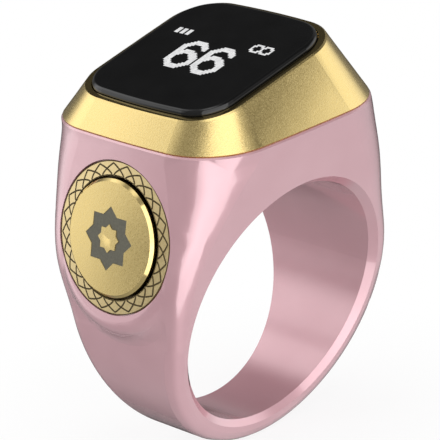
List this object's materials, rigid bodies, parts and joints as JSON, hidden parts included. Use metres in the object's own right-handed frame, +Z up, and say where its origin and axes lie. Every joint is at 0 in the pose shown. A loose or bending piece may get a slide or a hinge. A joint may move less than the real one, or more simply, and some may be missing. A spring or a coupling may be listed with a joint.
{
  "type": "finger ring tasbih counter",
  "caption": "Finger-worn digital tasbih counter: tapered ring band with a leaning display head, metal bezel and a round side button that counts each press.",
  "frame": {"origin": "middle of the finger bore", "axes": "+Y along the finger, +Z up through the display head, -X toward the counting button"},
  "size_m": [0.0251, 0.0198, 0.0328],
  "materials": {
    "pink_gloss": "glossy rose-pink moulded shell",
    "gold_satin": "bead-blasted, gold anodised, satin",
    "gold_pale": "pale gold anodised, engraved lattice",
    "dark_enamel": "dark filled engraving",
    "black_glass": "black-backed cover glass, rounded edge",
    "panel_glass": "display panel",
    "black_tape": "foam adhesive tape",
    "silicone": "black silicone",
    "amber_flex": "amber polyimide flat circuit",
    "board_green": "green solder mask",
    "chip_black": "moulded chip package",
    "ivory_plastic": "moulded nylon",
    "ceramic": "white ceramic",
    "battery_foil": "laminated foil pouch",
    "nickel": "nickel strip",
    "contact_gold": "gold plated",
    "steel": "stainless steel",
    "magnet": "sintered magnet",
    "tungsten": "dense eccentric weight"
  },
  "bodies": {
    "ring": {"ring_body": "pink_gloss", "bezel_frame": "gold_satin", "button_surround": "gold_pale", "display_glass": "black_glass", "glass_tape": "black_tape", "bezel_gasket": "silicone", "oled_panel": "panel_glass", "display_flex": "amber_flex", "charge_flex": "amber_flex", "switch_flex": "amber_flex", "main_board": "board_green", "board_screws": "steel", "counter_chip": "chip_black", "charger_chip": "chip_black", "clock_crystal": "steel", "chip_antenna": "ceramic", "flex_socket": "ivory_plastic", "battery_cell": "battery_foil", "battery_tabs": "nickel", "battery_pad": "black_tape", "charge_contact_plus": "contact_gold", "charge_contact_minus": "contact_gold", "motor_base": "steel", "motor_case": "steel", "motor_magnet": "magnet", "motor_pins": "contact_gold", "switch_base": "chip_black", "switch_cover": "steel", "switch_dome": "steel"},
    "button": {"button_cap": "gold_satin", "button_inlay": "dark_enamel", "button_cushion": "silicone"},
    "plunger": {"switch_plunger": "ivory_plastic"},
    "rotor": {"motor_rotor": "tungsten"}
  },
  "joints": [
    {"name": "button_press", "type": "slide", "parent": "ring", "child": "button", "axis": [0.9763, 0, -0.2164], "range_m": [0, 0.0003], "stiffness_N_per_m": 600, "springref_m": -0.0004},
    {"name": "plunger_press", "type": "slide", "parent": "ring", "child": "plunger", "axis": [0.9763, 0, -0.2164], "range_m": [0, 0.0003], "deforming": ["switch_dome"]},
    {"name": "motor_spin", "type": "hinge", "parent": "ring", "child": "rotor", "pos_m": [0.0054, 0, 0.0125], "axis": [0, 0, 1], "continuous": true}
  ],
  "couplings": [
    {"joint": "plunger_press", "follows": "button_press", "ratio": 1}
  ]
}
